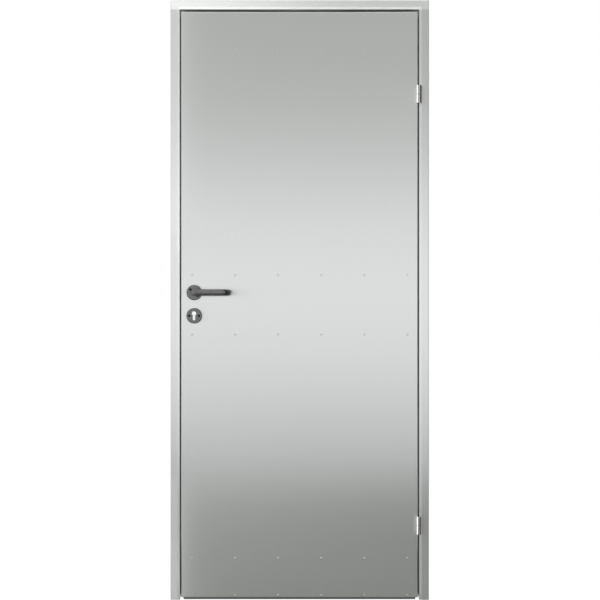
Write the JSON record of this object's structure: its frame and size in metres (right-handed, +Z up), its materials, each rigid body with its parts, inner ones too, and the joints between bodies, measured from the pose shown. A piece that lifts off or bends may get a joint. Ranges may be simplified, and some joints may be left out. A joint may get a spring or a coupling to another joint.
{
  "type": "steel utility door",
  "caption": "Flush single-leaf steel utility door in a folded steel frame, side hung on lift-off hinges, with a lever lock and a keyed cylinder.",
  "frame": {"origin": "on the wall side of the hinge jamb's front lip, in the middle of the lip's width, at floor level", "axes": "+X out of the hinge jamb into the wall, +Y from the pull face to the push face, +Z up"},
  "size_m": [0.89, 0.172, 2.065],
  "materials": {
    "leaf_steel": "satin, brushed along the height",
    "jamb_steel": "satin, brushed along the height",
    "head_steel": "satin, brushed along the width",
    "hinge_steel": "polished",
    "furniture_metal": "dark graphite grey, satin",
    "cylinder_nickel": "bright satin nickel",
    "plug_nickel": "bright satin nickel",
    "lock_steel": "satin",
    "inner_steel": "plain zinc coated",
    "seal_rubber": "matte black"
  },
  "bodies": {
    "frame": {"frame_head": "head_steel", "hinge_jamb": "jamb_steel", "lock_jamb": "jamb_steel", "head_seal": "seal_rubber", "hinge_jamb_seal": "seal_rubber", "lock_jamb_seal": "seal_rubber", "strike_plate": "lock_steel", "strike_box": "inner_steel", "hinge_fixing_sleeve_1": "inner_steel", "hinge_fixing_sleeve_2": "inner_steel", "hinge_fixing_sleeve_3": "inner_steel", "hinge_fixing_sleeve_4": "inner_steel", "lock_fixing_sleeve_1": "inner_steel", "lock_fixing_sleeve_2": "inner_steel", "lock_fixing_sleeve_3": "inner_steel", "lock_fixing_sleeve_4": "inner_steel", "upper_hinge_frame_half": "hinge_steel", "upper_hinge_pin": "hinge_steel", "upper_hinge_washer": "hinge_steel", "lower_hinge_frame_half": "hinge_steel", "lower_hinge_pin": "hinge_steel", "lower_hinge_washer": "hinge_steel"},
    "leaf": {"front_skin": "leaf_steel", "rear_tray": "leaf_steel", "bottom_sweep": "seal_rubber", "upper_hinge_leaf_half": "hinge_steel", "lower_hinge_leaf_half": "hinge_steel", "lock_forend": "lock_steel", "lock_case": "inner_steel", "latch_bolt": "lock_steel", "dead_bolt": "lock_steel", "lock_cylinder": "cylinder_nickel", "front_cylinder_plug": "plug_nickel", "rear_cylinder_plug": "plug_nickel", "front_lever_rose": "furniture_metal", "rear_lever_rose": "furniture_metal", "front_key_rose": "furniture_metal", "rear_key_rose": "furniture_metal"},
    "lever": {"front_lever": "furniture_metal", "rear_lever": "furniture_metal", "spindle": "inner_steel"}
  },
  "joints": [
    {"name": "door_swing", "type": "hinge", "parent": "frame", "child": "leaf", "pos_m": [-0.03575, -0.023, 1], "axis": [0, 0, 1], "range_deg": [0, 170]},
    {"name": "lever_turn", "type": "hinge", "parent": "leaf", "child": "lever", "pos_m": [-0.808, 0.013, 1.058], "axis": [0, 1, 0], "range_deg": [0, 45], "stiffness_Nm_per_rad": 2, "springref_deg": -34.38}
  ]
}
